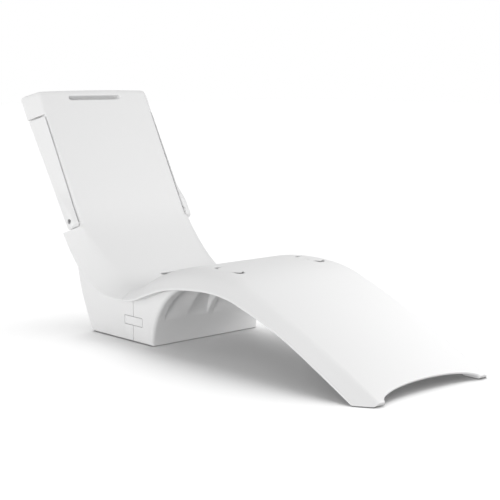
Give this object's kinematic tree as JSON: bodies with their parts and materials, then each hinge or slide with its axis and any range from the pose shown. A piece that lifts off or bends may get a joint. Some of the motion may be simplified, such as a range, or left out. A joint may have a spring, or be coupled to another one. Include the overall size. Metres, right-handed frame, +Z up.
{
  "type": "in-pool sun lounger",
  "caption": "White moulded chaise that rests on a shallow pool floor, with a raised knee hump, leaning back, handle slot and swing-down arms.",
  "frame": {"origin": "on the floor under the middle of the lounger's box", "axes": "+X across the width, to the sitter's left; +Y from the foot tips to the head; +Z up"},
  "size_m": [0.636, 1.9132, 0.9413],
  "materials": {
    "shell": "satin, faintly textured",
    "fitting": "smooth",
    "bearing": "smooth",
    "steel": "satin",
    "brass": "machined",
    "seal": "smooth",
    "grip": "matt"
  },
  "bodies": {
    "shell": {"front_section": "shell", "rear_section": "shell", "left_bolt": "steel", "left_washer": "steel", "left_insert": "brass", "front_left_pad": "grip", "rear_left_pad": "grip", "left_tip_pad": "grip", "right_bolt": "steel", "right_washer": "steel", "right_insert": "brass", "front_right_pad": "grip", "rear_right_pad": "grip", "right_tip_pad": "grip", "front_collar": "fitting", "rear_collar": "fitting"},
    "left_arm": {"left_arm": "shell", "left_bush": "bearing"},
    "left_key": {"left_key": "shell"},
    "right_arm": {"right_arm": "shell", "right_bush": "bearing"},
    "right_key": {"right_key": "shell"},
    "front_plug": {"front_plug": "fitting", "front_seal": "seal"},
    "rear_plug": {"rear_plug": "fitting", "rear_seal": "seal"}
  },
  "joints": [
    {"name": "left_arm_hinge", "type": "hinge", "parent": "shell", "child": "left_arm", "pos_m": [-0.27, 0.64583, 0.43108], "axis": [1, 0, 0], "range_deg": [0, 119]},
    {"name": "left_key_pull", "type": "slide", "parent": "shell", "child": "left_key", "axis": [-1, 0, 0], "range_m": [0, 0.03]},
    {"name": "right_arm_hinge", "type": "hinge", "parent": "shell", "child": "right_arm", "pos_m": [0.27, 0.64583, 0.43108], "axis": [1, 0, 0], "range_deg": [0, 119]},
    {"name": "right_key_pull", "type": "slide", "parent": "shell", "child": "right_key", "axis": [1, 0, 0], "range_m": [0, 0.03]},
    {"name": "front_plug_turn", "type": "hinge", "parent": "shell", "child": "front_plug", "pos_m": [0.266, 0.21343, 0.042], "axis": [1, 0, 0], "range_deg": [0, 90]},
    {"name": "rear_plug_turn", "type": "hinge", "parent": "shell", "child": "rear_plug", "pos_m": [0.266, 0.47243, 0.042], "axis": [1, 0, 0], "range_deg": [0, 90]}
  ]
}
